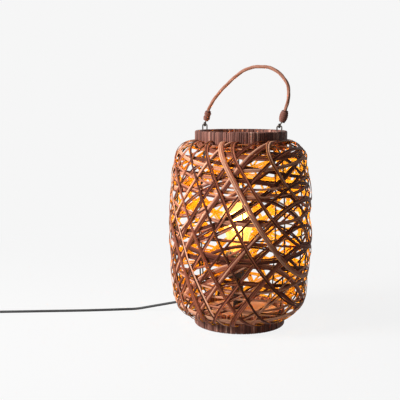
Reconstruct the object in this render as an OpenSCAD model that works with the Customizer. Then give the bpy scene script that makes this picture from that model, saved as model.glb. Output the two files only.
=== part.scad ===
// Lantern table lamp: a barrel of randomly woven rattan peel on a wire frame,
// between two wound wooden rings, with a twisted rattan handle and a bulb inside.
// The frame stands on Z = 0 and its axis is the Z axis. X runs to the right and Y to the back.

/* [Lantern body] */
// Height from the table to the top of the upper ring
body_h = 362; // [340:1:380]
// Radius of the woven barrel at its middle
shade_r = 132; // [128:0.5:136]
// Radius that rounds the two shoulders of the barrel
corner_r = 42; // [38:1:44]
// How far the middle of the barrel stands out beyond the rounding of its shoulders
bulge = 7; // [6:0.5:8]
// Lean of the sides above and below the middle, in degrees
side_lean = 4.8; // [4.5:0.1:5.2]

/* [Rings] */
// Outer radius of the two wound rings
ring_r = 85; // [84:0.5:86]
// Thickness of a ring's wall with its winding
ring_wall = 12; // [11.5:0.5:12]
// Height of a ring, of which the lower part is hidden behind the weave
ring_h = 33; // [33:0.5:35]
// Height of the part of a ring that shows outside the weave
ring_show = 16; // [15.5:0.5:18]
// Thickness of the winding around a ring's wooden core
wrap_t = 2.5; // [2.5:0.1:2.6]

/* [Weave] */
// Width of one strand of rattan peel
peel_w = 3.2; // [2.8:0.1:3.3]
// Thickness of the peel
peel_t = 0.7; // [0.6:0.05:0.75]
// Distance from one layer of peel to the next
layer_pitch = 0.85; // [0.8:0.05:0.9]
// Share of the barrel that the slanting runs of one layer are spread over
run_spread = 0.8; // [0.75:0.01:0.85]
// Number that the irregular spacing of the runs follows from
weave_seed = 7; // [1:1:20]

/* [Wire frame] */
// Diameter of the steel wire of the ribs and of the middle hoop
wire_d = 2.6; // [2.4:0.1:2.8]
// Number of upright ribs
rib_count = 10; // [8:1:12]
// Turn of the first rib away from the front, in degrees
rib_turn = 2; // [0:0.5:10]
// Height of the middle hoop
hoop_z = 176; // [160:1:200]

/* [Base] */
// Thickness of the plywood base board
board_t = 9; // [8:0.5:10]
// Height of the upper face of the base board
board_top = 24; // [22:0.5:26]

/* [Lampholder and bulb] */
// Shift of the lampholder to the left of the axis
lamp_shift = 4; // [0:0.5:6]
// Height of the lower end of the lampholder
holder_z = 56; // [54:0.5:58]
// Outer radius of the lampholder at its lip
holder_r = 23; // [22.5:0.25:24]
// Diameter of the bulb's glass
bulb_d = 62; // [58:1:66]
// Length of the bulb from its contact to its crown
bulb_l = 118; // [112:1:124]

/* [Handle] */
// Turn of the handle's hinge line about the vertical axis, in degrees
handle_turn = 30; // [20:1:40]
// Height of the hinge line above the upper ring
hinge_up = 10; // [9:0.5:11]
// Height of the arch of the rope above the hinge line
handle_h = 105; // [100:1:110]
// Diameter of the twisted rattan rope
rope_d = 6.5; // [6:0.1:7]
// Diameter of the wire of the loops and eyes
loop_wire = 2.4; // [2.2:0.1:2.4]

/* [Cord, switch and plug] */
// Diameter of the cord
cord_d = 5; // [4.6:0.1:5.2]
// Length of the in-line switch
switch_l = 62; // [58:1:66]
// Width of the in-line switch
switch_w = 24; // [22:1:26]
// Height of the in-line switch
switch_h = 15; // [14:0.5:17]
// Mean radius of the coiled cord
coil_r = 28; // [27:0.5:30]

/* [Hidden] */
$fn = 96;

// Radial room of a piece that turns or slides in another
running_gap = 0.05;
// Air left between neighbouring layers and faces that don't bear on each other
face_gap = 0.2;
// Depth to which welded wires are sunk into each other
weld_bite = 0.05;
// Height of the weld bead round a joint in a rib
weld_bead = 0.1;
// Depth of the holes in the rings' cores that take the ends of the ribs
rib_sink = 4;

corner_x = shade_r - corner_r - bulge;
layer_count = 6;
weave_t = (layer_count - 1) * layer_pitch + peel_t;
lower_centre_z = ring_show + corner_r;
upper_centre_z = body_h - ring_show - corner_r;
core_in_r = ring_r - ring_wall + wrap_t;
core_out_r = ring_r - wrap_t;
ring_mid_r = ring_r - ring_wall / 2;
board_r = ring_r - ring_wall - running_gap;
rib_inset = weave_t + face_gap + wire_d / 2;
wire_r = wire_d / 2;

// Height above a shoulder's centre at which the leaning side meets the upright middle
function lean_rise(inset) =
    ((shade_r - inset - corner_x) * cos(side_lean) - (corner_r - inset)) / sin(side_lean);

// ---- Smooth routes: a curve through hand-placed points, and a tube along it ----

function curve_at(a, b, c, d, t) =
    0.5 * (2 * b + (c - a) * t + (2 * a - 5 * b + 4 * c - d) * t * t
           + (3 * b - a - 3 * c + d) * t * t * t);

function route(p, steps) = let (last = len(p) - 1) [
    for (i = [0 : last - 1], s = [0 : steps - 1])
        curve_at(p[max(i - 1, 0)], p[i], p[i + 1], p[min(i + 2, last)], s / steps),
    p[last]
];

function unit(v) = v / norm(v);

module tube(path, d, side_dir, sides = 8) {
    last = len(path) - 1;
    rings = [
        for (i = [0 : last]) let (
            along = unit(path[min(i + 1, last)] - path[max(i - 1, 0)]),
            u = unit(cross(along, side_dir)),
            v = cross(along, u)
        ) for (s = [0 : sides - 1])
            path[i] + d / 2 * (u * cos(360 * s / sides) + v * sin(360 * s / sides))
    ];
    polyhedron(rings, concat(
        [[for (s = [0 : sides - 1]) s]],
        [for (i = [0 : last - 1], s = [0 : sides - 1])
            [i * sides + s, (i + 1) * sides + s,
             (i + 1) * sides + (s + 1) % sides, i * sides + (s + 1) % sides]],
        [[for (s = [sides - 1 : -1 : 0]) last * sides + s]]
    ));
}

// ---- Outline of the barrel, half of its section, inset all round by a distance ----

module barrel_outline(inset) {
    r = corner_r - inset;
    side = shade_r - inset;
    rise = lean_rise(inset);
    polygon([
        [0, ring_show + inset],
        [corner_x, ring_show + inset],
        [corner_x + r * cos(side_lean), lower_centre_z - r * sin(side_lean)],
        [side, lower_centre_z + rise],
        [side, upper_centre_z - rise],
        [corner_x + r * cos(side_lean), upper_centre_z + r * sin(side_lean)],
        [corner_x, body_h - ring_show - inset],
        [0, body_h - ring_show - inset]
    ]);
    translate([corner_x, lower_centre_z])
        circle(r);
    translate([corner_x, upper_centre_z])
        circle(r);
}

// ---- Base board and rings ----

module base_board() {
    color("#c9a183")
    difference() {
        translate([0, 0, board_top - board_t])
            cylinder(h = board_t, r = board_r);
        translate([-lamp_shift, 0, 0])
            cylinder(h = body_h, r = stem_r + running_gap);
        nails(nail_r);
    }
}

nail_r = 0.8;
nail_count = 4;
nail_l = 18;

// Nails through the ring's core into the edge of the board
module nails(r) {
    for (i = [0 : nail_count - 1])
        rotate([0, 0, 45 + 360 / nail_count * i])
            translate([core_out_r - nail_l, 0, board_top - board_t / 2])
                rotate([0, 90, 0])
                    cylinder(h = nail_l, r = r, $fn = 32);
}

module board_nails() {
    color("#8d8f92")
        nails(nail_r);
}

// A bent wooden band, the same in both rings
module ring_core() {
    difference() {
        translate([0, 0, wrap_t])
            cylinder(h = ring_h - 2 * wrap_t, r = core_out_r);
        cylinder(h = ring_h, r = core_in_r);
    }
}

winding_lengths = 8;
winding_turn = 5;

// Section of the peel round the band, with rounded edges
module winding_section() {
    edge = 2;
    inner = ring_r - ring_wall;
    difference() {
        union() {
            translate([inner + edge, 0])
                square([ring_wall - 2 * edge, ring_h]);
            translate([inner, edge])
                square([ring_wall, ring_h - 2 * edge]);
            for (x = [inner + edge, ring_r - edge], y = [edge, ring_h - edge])
                translate([x, y])
                    circle(edge);
        }
        translate([core_in_r, wrap_t])
            square([core_out_r - core_in_r, ring_h - 2 * wrap_t]);
    }
}

// The winding is laid in lengths, each of which goes round a part of the ring
module ring_winding() {
    sweep = 360 / winding_lengths;
    for (i = [0 : winding_lengths - 1])
        rotate([0, 0, winding_turn + sweep * i])
            rotate_extrude(angle = sweep - length_gap)
                winding_section();
}

// Level holes for the ends of the ribs, from inside the core out to the face of the ring
module rib_holes(z) {
    for (i = [0 : rib_count - 1])
        rotate([0, 0, rib_angle(i)])
            translate([core_out_r - rib_sink, 0, z])
                rotate([0, 90, 0])
                    cylinder(h = rib_sink + 2 * wrap_t, r = wire_r + weld_bead + running_gap,
                             $fn = 48);
}

module bottom_ring_core() {
    color("#a5794f")
    difference() {
        ring_core();
        rib_holes(rib_low_z);
        nails(nail_r);
    }
}

module bottom_ring_winding() {
    color("#5a3628")
    difference() {
        ring_winding();
        rib_holes(rib_low_z);
        nails(nail_r);
    }
}

module top_ring_core() {
    color("#a5794f")
    difference() {
        translate([0, 0, body_h - ring_h])
            ring_core();
        rib_holes(body_h - rib_low_z);
        for (end = [-1, 1])
            rim_loop(end, loop_wire / 2);
    }
}

module top_ring_winding() {
    color("#5a3628")
    difference() {
        translate([0, 0, body_h - ring_h])
            ring_winding();
        rib_holes(body_h - rib_low_z);
        for (end = [-1, 1])
            rim_loop(end, loop_wire / 2);
    }
}

// ---- Wire frame ----

rib_low_z = ring_show + rib_inset;

function rib_angle(i) = -90 + rib_turn + 360 / rib_count * i;

// Quarter of a shoulder in wire, from the ring out to the leaning side
module rib_shoulder() {
    rotate([90, 0, 0])
        rotate([0, 0, -90])
            rotate_extrude(angle = 90 - side_lean)
                translate([corner_r - rib_inset, 0])
                    circle(wire_r, $fn = 32);
}

// Lower half of one rib, in the XZ plane
module half_rib() {
    r = corner_r - rib_inset;
    rise = lean_rise(rib_inset);
    start = [corner_x + r * cos(side_lean), lower_centre_z - r * sin(side_lean)];
    finish = [shade_r - rib_inset, lower_centre_z + rise];
    translate([core_out_r - rib_sink, 0, rib_low_z])
        rotate([0, 90, 0])
            cylinder(h = corner_x - core_out_r + rib_sink, r = wire_r, $fn = 32);
    translate([corner_x, 0, lower_centre_z])
        rib_shoulder();
    translate([start[0], 0, start[1]])
        rotate([0, side_lean, 0])
            cylinder(h = norm(finish - start), r = wire_r, $fn = 32);
    for (joint = [[corner_x, rib_low_z], start, finish])
        translate([joint[0], 0, joint[1]])
            sphere(wire_r + weld_bead, $fn = 32);
    translate([finish[0], 0, finish[1]])
        cylinder(h = body_h / 2 - finish[1], r = wire_r, $fn = 32);
}

module frame_ribs() {
    color("#1d1a19")
    for (i = [0 : rib_count - 1])
        rotate([0, 0, rib_angle(i)]) {
            half_rib();
            translate([0, 0, body_h])
                mirror([0, 0, 1])
                    half_rib();
        }
}

module middle_hoop() {
    color("#1d1a19")
    translate([0, 0, hoop_z])
        rotate_extrude()
            translate([shade_r - rib_inset - wire_d + weld_bite, 0])
                circle(wire_r, $fn = 32);
}

// ---- Random weave ----
// Each layer is a thin shell. Its runs are cut from the shell by slabs that all lean much the
// same way, so runs cross those of other layers but never their own. A run is one to three
// strands side by side, laid in three lengths.

// For each layer the lean of its runs from level, the direction in which they lean, their
// number, how evenly they are spaced (1 is even, less crowds them towards the rings), and
// how much further than the others they are spread
weave_plan = [
    [9, 40, 11, 0.6, 0.1], [33, 205, 12, 0.9, 0], [47, 95, 12, 0.9, 0],
    [14, 285, 11, 0.6, 0.1], [56, 150, 12, 0.9, 0], [64, 335, 10, 0.9, 0]
];
lengths_each = 3;
// Gap between the ends of neighbouring lengths of peel, in degrees
length_gap = 0.3;
// Most that a run's plane tilts away from its layer's plan, in degrees
run_play = 2.2;
// Most that a run leaves its even place, as a share of half the spacing
spacing_play = 0.4;
// Steps that scatter the runs' places, tilts and strands
place_step = 0.618034;
lean_step = 0.754878;
turn_step = 0.56984;
strand_step = 0.381966;

// Most runs that a layer has, so that each run gets numbers of its own
run_most = 12;

// Repeatable number between -1 and 1 for one run of a layer
function scatter(layer, k, step) =
    let (x = (run_most * layer + k) * step + weave_seed / 10) 2 * (x - floor(x)) - 1;

function strands(layer, k) =
    let (x = scatter(layer, k, strand_step)) x < -0.6 ? 1 : x < 0.5 ? 2 : 3;

// Distance from the middle of the barrel to a slab that just touches its shoulder
function slab_reach(lean) =
    corner_x * sin(lean) + (body_h / 2 - lower_centre_z) * cos(lean) + corner_r;

module layer_section(layer) {
    inset = (layer_count - layer) * layer_pitch;
    intersection() {
        difference() {
            barrel_outline(inset);
            barrel_outline(inset + peel_t);
        }
        translate([ring_r + face_gap, 0])
            square([shade_r, body_h]);
    }
}

module run_slab(layer, k) {
    plan = weave_plan[layer - 1];
    lean = plan[0] + run_play * scatter(layer, k, lean_step);
    turn = plan[1] + run_play / sin(plan[0]) * scatter(layer, k, turn_step);
    share = (2 * k + spacing_play * scatter(layer, k, place_step)) / (plan[2] - 1) - 1;
    reach = (run_spread + plan[4]) * slab_reach(plan[0]);
    run_w = peel_w * strands(layer, k);
    translate([0, 0, body_h / 2])
        rotate([0, 0, turn])
            rotate([0, lean, 0])
                translate([0, 0, sign(share) * pow(abs(share), plan[3]) * reach])
                    cube([2 * body_h, 2 * body_h, run_w], center = true);
}

module weave_layer(layer) {
    sweep = 360 / lengths_each;
    color("#7d4f44")
    difference() {
        for (k = [0 : weave_plan[layer - 1][2] - 1], q = [0 : lengths_each - 1])
            intersection() {
                rotate([0, 0, sweep * q + 37 * k + 20 * layer])
                    rotate_extrude(angle = sweep - length_gap)
                        layer_section(layer);
                run_slab(layer, k);
            }
        cord_passage();
    }
}

module weave_layer_1() {
    weave_layer(1);
}

module weave_layer_2() {
    weave_layer(2);
}

module weave_layer_3() {
    weave_layer(3);
}

module weave_layer_4() {
    weave_layer(4);
}

module weave_layer_5() {
    weave_layer(5);
}

module weave_layer_6() {
    weave_layer(6);
}

// ---- Stem and lampholder, on an axis of their own ----

stem_r = 5;
stem_bore_r = 3.5;
sleeve_r = 8;
washer_r = 11;
washer_t = 1.5;
nut_t = 4;
nut_flats = 14;
neck_h = 24;
cap_h = 48;
shell_h = 28;
cap_wall = 3;
seam_z = holder_z + cap_h;
lip_z = seam_z + shell_h;
stem_top = holder_z + 12;
washer_z = board_top - board_t - washer_t;
insert_t = 5;
insert_top = seam_z + insert_t;
contact_t = 0.9;
grip_lean = 36.87;
grip_l = 16;
grip_r = 4.2;

module on_lamp_axis() {
    translate([-lamp_shift, 0, 0])
        children();
}

module stem_tube() {
    color("#77797c")
    on_lamp_axis()
        translate([0, 0, washer_z - nut_t - 2])
            difference() {
                cylinder(h = stem_top - washer_z + nut_t + 2, r = stem_r);
                translate([0, 0, -1])
                    cylinder(h = body_h, r = stem_bore_r);
            }
}

module stem_sleeve() {
    color("#1b1a1a")
    on_lamp_axis()
        translate([0, 0, board_top])
            difference() {
                cylinder(h = holder_z - board_top, r = sleeve_r);
                cylinder(h = body_h, r = stem_r + running_gap);
            }
}

module stem_washer() {
    color("#a9abad")
    on_lamp_axis()
        translate([0, 0, washer_z])
            difference() {
                cylinder(h = washer_t, r = washer_r);
                cylinder(h = 3 * washer_t, r = stem_r + running_gap, center = true);
            }
}

module stem_nut() {
    color("#a9abad")
    on_lamp_axis()
        translate([0, 0, washer_z - nut_t])
            difference() {
                cylinder(h = nut_t, r = nut_flats / 2 / cos(30), $fn = 6);
                cylinder(h = 3 * nut_t, r = stem_r + running_gap, center = true);
            }
}

// Places its children along the slanting passage of the cord grip, pointing outward and down
module at_grip() {
    translate(grip_top)
        rotate([0, 180 + grip_lean, 0])
            children();
}

module holder_cap() {
    neck_r = 11;
    dome_r = holder_r - 1.5;
    color("#1b1a1a")
    difference() {
        on_lamp_axis()
            translate([0, 0, holder_z])
                rotate_extrude()
                    polygon([
                        [stem_r + running_gap, 0],
                        [neck_r - 1, 0],
                        [neck_r, 1],
                        [neck_r, neck_h],
                        [dome_r - 1, neck_h + 8],
                        [dome_r, cap_h],
                        [dome_r - cap_wall, cap_h],
                        [dome_r - cap_wall - 1, neck_h + 10],
                        [neck_r - cap_wall, neck_h + 2],
                        [neck_r - cap_wall, 12],
                        [stem_r + running_gap, 12]
                    ]);
        at_grip()
            cylinder(h = grip_l, r = grip_r);
    }
}

module cord_grip() {
    color("#1b1a1a")
    at_grip()
        difference() {
            union() {
                cylinder(h = grip_l, r = grip_r);
                translate([0, 0, grip_l - 3])
                    cylinder(h = 3, r = grip_r + 1);
            }
            translate([0, 0, -1])
                cylinder(h = grip_l + 2, r = cord_d / 2 + running_gap);
        }
}

module holder_shell() {
    bore = holder_r - cap_wall;
    lip_bore = 14.6;
    color("#1b1a1a")
    on_lamp_axis()
        translate([0, 0, seam_z])
            rotate_extrude()
                polygon([
                    [bore, 0],
                    [holder_r - 1, 0],
                    [holder_r, 2],
                    [holder_r, shell_h - 1],
                    [holder_r - 1, shell_h],
                    [lip_bore, shell_h],
                    [lip_bore, shell_h - cap_wall],
                    [bore, shell_h - cap_wall]
                ]);
}

module holder_insert() {
    color("#e9e4da")
    on_lamp_axis()
        difference() {
            translate([0, 0, seam_z])
                cylinder(h = insert_t, r = holder_r - cap_wall - running_gap);
            for (side = [-1, 1])
                translate([0, side * terminal_y, seam_z - 1])
                    cylinder(h = insert_t + 2, r = terminal_r, $fn = 32);
        }
}

terminal_y = 9;
terminal_r = 1.5;

// Two screws that hold the conductors and carry the contact and the sleeve
module terminal_screws() {
    color("#c9a24a")
    on_lamp_axis()
        for (side = [-1, 1])
            translate([0, side * terminal_y, seam_z - 4]) {
                cylinder(h = insert_t + 4, r = terminal_r, $fn = 32);
                translate([0, 0, 2])
                    cylinder(h = 2, r = terminal_r + 1.3, $fn = 32);
            }
}

sleeve_in_r = 13.2;

module thread_sleeve() {
    color("#c9a24a")
    on_lamp_axis()
        translate([0, 0, insert_top])
            difference() {
                cylinder(h = shell_h - insert_t - cap_wall - 1, r = sleeve_in_r + 0.8);
                translate([0, 0, -1])
                    cylinder(h = shell_h, r = sleeve_in_r);
            }
}

module centre_contact() {
    color("#c9a24a")
    on_lamp_axis()
        translate([0, 0, insert_top])
            cylinder(h = contact_t, r = 5);
}

// ---- Bulb ----

bulb_z = insert_top + contact_t + running_gap;
bulb_cap_r = sleeve_in_r - running_gap;
glass_foot = 26;
glass_wall = 0.8;
mount_top = 50;
filament_l = 34;
filament_count = 4;

module on_bulb() {
    on_lamp_axis()
        translate([0, 0, bulb_z])
            children();
}

module bulb_contact() {
    color("#b9bbbd")
    on_bulb() {
        cylinder(h = 1.5, r = 4);
        translate([0, 0, 1.5])
            cylinder(h = 1.5, r = 9);
    }
}

module bulb_cap() {
    color("#b9bbbd")
    on_bulb()
        translate([0, 0, 3])
            rotate_extrude()
                polygon([
                    [0, 0],
                    [9, 0],
                    [bulb_cap_r, 3],
                    [bulb_cap_r, glass_foot - 4],
                    [bulb_cap_r + 0.8, glass_foot - 3],
                    [bulb_cap_r - 0.7, glass_foot - 3],
                    [bulb_cap_r - 0.7, 4],
                    [0, 1.5]
                ]);
}

// Ball and tapering neck of the glass
module glass_form(inset) {
    r = bulb_d / 2;
    waist = 15;
    translate([0, 0, bulb_l - r])
        sphere(r - inset);
    translate([0, 0, glass_foot])
        cylinder(h = bulb_l - r - waist - glass_foot,
                 r1 = bulb_cap_r - inset,
                 r2 = sqrt(r * r - waist * waist) - inset);
}

module bulb_glass() {
    color("#ffd9a0", 0.5)
    on_bulb()
        difference() {
            glass_form(0);
            glass_form(glass_wall);
        }
}

module bulb_mount() {
    color("#e8f0f0")
    on_bulb() {
        translate([0, 0, glass_foot])
            cylinder(h = 8, r1 = bulb_cap_r - glass_wall - running_gap, r2 = 5.5);
        translate([0, 0, glass_foot])
            cylinder(h = mount_top - glass_foot, r = 5.5);
        translate([0, 0, mount_top])
            cylinder(h = filament_l + 1.5, r = 1);
        translate([0, 0, mount_top + filament_l])
            cylinder(h = 1.5, r = 5.5);
    }
}

module bulb_filaments() {
    color("#ffb43c")
    on_bulb()
        for (i = [0 : filament_count - 1])
            rotate([0, 0, 45 + 360 / filament_count * i])
                translate([4, 0, mount_top])
                    cylinder(h = filament_l, r = 0.9, $fn = 32);
}

// ---- Handle ----

hinge_z = body_h + hinge_up;
loop_half = ring_wall / 2 - wrap_t / 2;
loop_corner = 3;
eye_wire_r = 1.5;
eye_r = loop_wire / 2 + running_gap + eye_wire_r;
binding_l = 14;
rope_lean = 16.5;
rope_dir = [sin(rope_lean), 0, cos(rope_lean)];
rope_foot_z = 8;
rope_start = [3 - ring_mid_r, 0, rope_foot_z];
rope_finish = [ring_mid_r + 5.5, 0, rope_foot_z];
straight_l = 24;

// Centre line of the rope as shares of the ring's radius and of the arch's height
rope_shares = [
    [-0.684, 0.495], [-0.405, 0.695], [-0.051, 0.895], [0.241, 0.986], [0.557, 1],
    [0.81, 0.962], [1.025, 0.857], [1.177, 0.714], [1.222, 0.571], [1.203, 0.419]
];

// The same line seen square to the arch, with the hinge line at height 0
rope_points = concat(
    [rope_start, rope_start + binding_l * rope_dir, rope_start + straight_l * rope_dir],
    [for (p = rope_shares) [p[0] * ring_mid_r, 0, p[1] * handle_h]],
    [rope_finish + straight_l * rope_dir, rope_finish + binding_l * rope_dir, rope_finish]
);

module on_handle() {
    rotate([0, 0, -handle_turn])
        translate([0, 0, hinge_z])
            children();
}

// Closed wire loop that straddles a ring's core, end -1 on the left and 1 on the right
module rim_loop(end, r) {
    top = hinge_z - loop_corner;
    bottom = body_h - ring_h + wrap_t / 2 + loop_corner;
    rotate([0, 0, -handle_turn])
        translate([end * ring_mid_r, 0, 0])
            for (side = [0, 1])
                mirror([side, 0, 0]) {
                    translate([loop_half, 0, bottom])
                        cylinder(h = top - bottom, r = r, $fn = 32);
                    for (z = [top, bottom]) {
                        translate([loop_half, 0, z])
                            sphere(r, $fn = 32);
                        translate([loop_half - loop_corner, 0, z])
                            rotate([90, 0, 0])
                                rotate([0, 0, z == top ? 0 : -90])
                                    rotate_extrude(angle = 90)
                                        translate([loop_corner, 0])
                                            circle(r, $fn = 32);
                    }
                    for (z = [top + loop_corner, bottom - loop_corner]) {
                        translate([loop_half - loop_corner, 0, z])
                            sphere(r, $fn = 32);
                        translate([0, 0, z])
                            rotate([0, 90, 0])
                                cylinder(h = loop_half - loop_corner, r = r, $fn = 32);
                    }
                }
}

module rim_loop_left() {
    color("#2a2624")
        rim_loop(-1, loop_wire / 2);
}

module rim_loop_right() {
    color("#2a2624")
        rim_loop(1, loop_wire / 2);
}

// Wire eye round the top of a rim loop, with a shank up to the end of the rope
module handle_eye(end, rope_end) {
    centre = [end * ring_mid_r, 0, 0];
    reach = rope_end - centre;
    color("#2a2624")
    on_handle()
        difference() {
            union() {
                translate(centre)
                    rotate([0, 90, 0])
                        rotate_extrude()
                            translate([eye_r, 0])
                                circle(eye_wire_r, $fn = 32);
                translate(centre)
                    rotate([0, atan2(reach[0], reach[2]), 0])
                        translate([0, 0, eye_r])
                            cylinder(h = norm(reach), r = eye_wire_r - 0.2, $fn = 32);
            }
            translate(rope_end)
                rotate([0, rope_lean, 0])
                    translate([-10, -10, 0])
                        cube(20);
        }
}

module handle_eye_left() {
    handle_eye(-1, rope_start);
}

module handle_eye_right() {
    handle_eye(1, rope_finish);
}

// Three round turns of peel over an end of the rope
module rope_binding(rope_end, outer_r) {
    turn_r = binding_l / 6;
    bore = rope_d / 2 + running_gap;
    color("#5c3a2c")
    on_handle()
        translate(rope_end)
            rotate([0, rope_lean, 0])
                rotate_extrude() {
                    translate([bore, 0])
                        square([outer_r - turn_r - bore, binding_l]);
                    for (i = [0 : 2])
                        translate([outer_r - turn_r, turn_r * (2 * i + 1)])
                            circle(turn_r);
                }
}

module handle_binding_left() {
    rope_binding(rope_start, rope_d / 2 + 2.6);
}

module handle_binding_right() {
    rope_binding(rope_finish, rope_d / 2 + 3.4);
}

module handle_rope() {
    color("#8a5a40")
    on_handle()
        tube(route(rope_points, 3), rope_d, [0, 1, 0], 10);
}

// ---- Cord, from the lampholder out over the lower ring and along the table ----

cord_r = cord_d / 2;
switch_x = -520;
cord_y = 30;
entry_z = 6;

// Top of the grip's passage in the lampholder's cap, and the way that it points
grip_top = [cap_wall + 1 - lamp_shift - holder_r, 0, seam_z - 5];
grip_dir = [-sin(grip_lean), 0, -cos(grip_lean)];

// Where the cord leaves over the lower ring, in degrees round the axis
exit_angle = 137.6;

// Points of the cord just inside and just outside the weave
weave_entry = [-76, 63, 32];
weave_exit = [-100, 65, 24.5];

// Point of the cord near the ring: how far outside its wall and how far above its top
function by_ring(out, up) = [
    (ring_r + out) * cos(exit_angle), (ring_r + out) * sin(exit_angle), ring_h + up
];

lamp_route = concat(
    [for (d = [1, 9, grip_l + 1]) grip_top + d * grip_dir],
    [for (d = [[-14, 0, -24], [-15, 2, -39], [-18, 12, -53]]) grip_top + d],
    [by_ring(-27.3, 5), by_ring(-9.3, 4), by_ring(1.7, 3)],
    [weave_entry, weave_exit],
    [[-134, 67, 17], [-170, 68, 9.9],
     [-196, 69, 4.6], [-210, 69, 2.7], [-226, 66.5, 2.5], [-300, 53, 2.5],
     [-380, 43, 2.5], [-470, 32, 2.5], [-486, 30.5, 3.8], [-500, 30, 6],
     [-512, 30, 6], [-524, 30, 6]]
);
coil_lead_route = [
    [-578, 30, 6], [-590, 30, 6], [-603, 30, 6], [-618, 28, 5],
    [-634, 21.5, 4.2], [-643, 10.5, 3.6], [-645.5, -1, 3.4], [-645.5, -11, 3.4]
];
plug_lead_route = [
    [-645.5, -41, 8.4], [-645.5, -50, 7.6], [-645.5, -58, 7], [-645.5, -69, 7],
    [-645.5, -79, 7]
];

// Straight passage through the weave, along the cord
module cord_passage() {
    along = weave_exit - weave_entry;
    extra = 12;
    translate(weave_entry)
        rotate([0, 0, atan2(along[1], along[0])])
            rotate([0, 90 - asin(along[2] / norm(along)), 0])
                translate([0, 0, -extra])
                    cylinder(h = norm(along) + 2 * extra, r = cord_r + 2);
}

module lamp_cord() {
    color("#161616")
        tube(route(lamp_route, 2), cord_d, [1, 1, 1]);
}

module coil_lead() {
    color("#161616")
        tube(route(coil_lead_route, 2), cord_d, [0, 0, 1]);
}

module plug_lead() {
    color("#161616")
        tube(route(plug_lead_route, 2), cord_d, [1, 0, 0]);
}

// ---- Switch in the cord ----

switch_mid = [switch_x - switch_l / 2, cord_y, 0];
rocker_l = 19;
rocker_w = 9;
rocker_throw = 14;
rocker_z = 10;
rocker_gap = 0.3;
rocker_pin_r = 1.2;
screw_places = [[-20, 7.5], [20, -7.5]];

module on_switch() {
    translate(switch_mid)
        children();
}

module switch_outline() {
    end_r = 7;
    square([switch_l - 2 * end_r, switch_w], center = true);
    square([switch_l, switch_w - 2 * end_r], center = true);
    for (x = [-1, 1], y = [-1, 1])
        translate([x * (switch_l / 2 - end_r), y * (switch_w / 2 - end_r)])
            circle(end_r);
}

module rocker_window(bottom) {
    side = rocker_l + 4 * rocker_gap;
    across = rocker_w + 2 * rocker_gap;
    translate([-side / 2, -across / 2, bottom])
        cube([side, across, switch_h]);
}

module switch_screw_form(gap) {
    for (p = screw_places)
        translate([p[0], p[1], 0]) {
            translate([0, 0, 0.8])
                cylinder(h = 1.8, r = 2.5 + gap, $fn = 32);
            translate([0, 0, 0.8])
                cylinder(h = switch_h - 4, r = 1.4 + gap, $fn = 32);
            translate([0, 0, -1])
                cylinder(h = gap > 0 ? 2 : 1.9, r = gap > 0 ? 2.5 + gap : 1, $fn = 32);
        }
}

module cord_entries() {
    for (side = [-1, 1])
        translate([side * (switch_l / 2 + 1), 0, entry_z])
            rotate([0, -90 * side, 0])
                cylinder(h = 6, r = cord_r + running_gap);
}

module switch_base() {
    color("#161616")
    on_switch()
        difference() {
            linear_extrude(entry_z)
                switch_outline();
            rocker_window(3);
            switch_screw_form(running_gap);
            cord_entries();
        }
}

module switch_cover() {
    color("#161616")
    on_switch()
        difference() {
            translate([0, 0, entry_z])
                linear_extrude(switch_h - entry_z)
                    switch_outline();
            rocker_window(0);
            switch_screw_form(running_gap);
            cord_entries();
            translate([0, rocker_w, rocker_z])
                rotate([90, 0, 0])
                    cylinder(h = 2 * rocker_w, r = rocker_pin_r + running_gap, $fn = 32);
        }
}

// Rocker with a shallow dip in its face, on two pins across the switch
module switch_rocker() {
    color("#26262a")
    on_switch()
        translate([0, 0, rocker_z])
            rotate([0, rocker_throw / 2, 0]) {
                rotate([90, 0, 0])
                    linear_extrude(rocker_w, center = true)
                        intersection() {
                            polygon([
                                [-rocker_l / 2, -2.5], [-rocker_l / 2, 7.5],
                                [0, 5.5], [rocker_l / 2, 7.5], [rocker_l / 2, -2.5]
                            ]);
                            circle(rocker_l / 2 + 0.2);
                        }
                rotate([90, 0, 0])
                    cylinder(h = rocker_w + 6, r = rocker_pin_r, center = true, $fn = 32);
            }
}

module switch_screws() {
    color("#a9abad")
    on_switch()
        difference() {
            switch_screw_form(0);
            translate([-switch_l, -switch_w, -2])
                cube([2 * switch_l, 2 * switch_w, 2.8]);
        }
}

// Tapered sleeve that keeps the cord from kinking
module cord_boot(length, root_r, tip_r) {
    difference() {
        cylinder(h = length, r1 = root_r, r2 = tip_r);
        translate([0, 0, -1])
            cylinder(h = length + 2, r = cord_r + running_gap);
    }
}

boot_l = 20;

module switch_boots() {
    color("#161616")
    on_switch()
        for (side = [-1, 1])
            translate([side * switch_l / 2, 0, entry_z])
                rotate([0, 90 * side, 0])
                    cord_boot(boot_l, 5, 3.4);
}

// ---- Coil and its tie ----

coil_centre = [-610, -27, 0];
coil_half_w = 10.2;
coil_h = 10.4;
tie_t = 0.8;
tie_w = 6;
// Room that the tie's straight inner side leaves for the round of the coil
tie_gap = 0.3;

module cord_coil() {
    corner = 4;
    color("#161616")
    translate(coil_centre + [0, 0, tie_t])
        rotate_extrude()
            union() {
                translate([coil_r - coil_half_w, corner])
                    square([2 * coil_half_w, coil_h - 2 * corner]);
                translate([coil_r - coil_half_w + corner, 0])
                    square([2 * (coil_half_w - corner), coil_h]);
                for (x = [-1, 1], z = [corner, coil_h - corner])
                    translate([coil_r + x * (coil_half_w - corner), z])
                        circle(corner);
            }
}

module cord_tie() {
    inner_y = coil_r - coil_half_w - tie_gap;
    outer_y = coil_r + coil_half_w;
    color("#202020")
    translate(coil_centre)
        difference() {
            translate([-tie_w / 2, inner_y - tie_t, 0])
                cube([tie_w, outer_y - inner_y + 2 * tie_t, coil_h + 2 * tie_t]);
            translate([-tie_w, inner_y, tie_t])
                cube([2 * tie_w, outer_y - inner_y, coil_h]);
        }
}

// ---- Plug, lying flat ----

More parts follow.
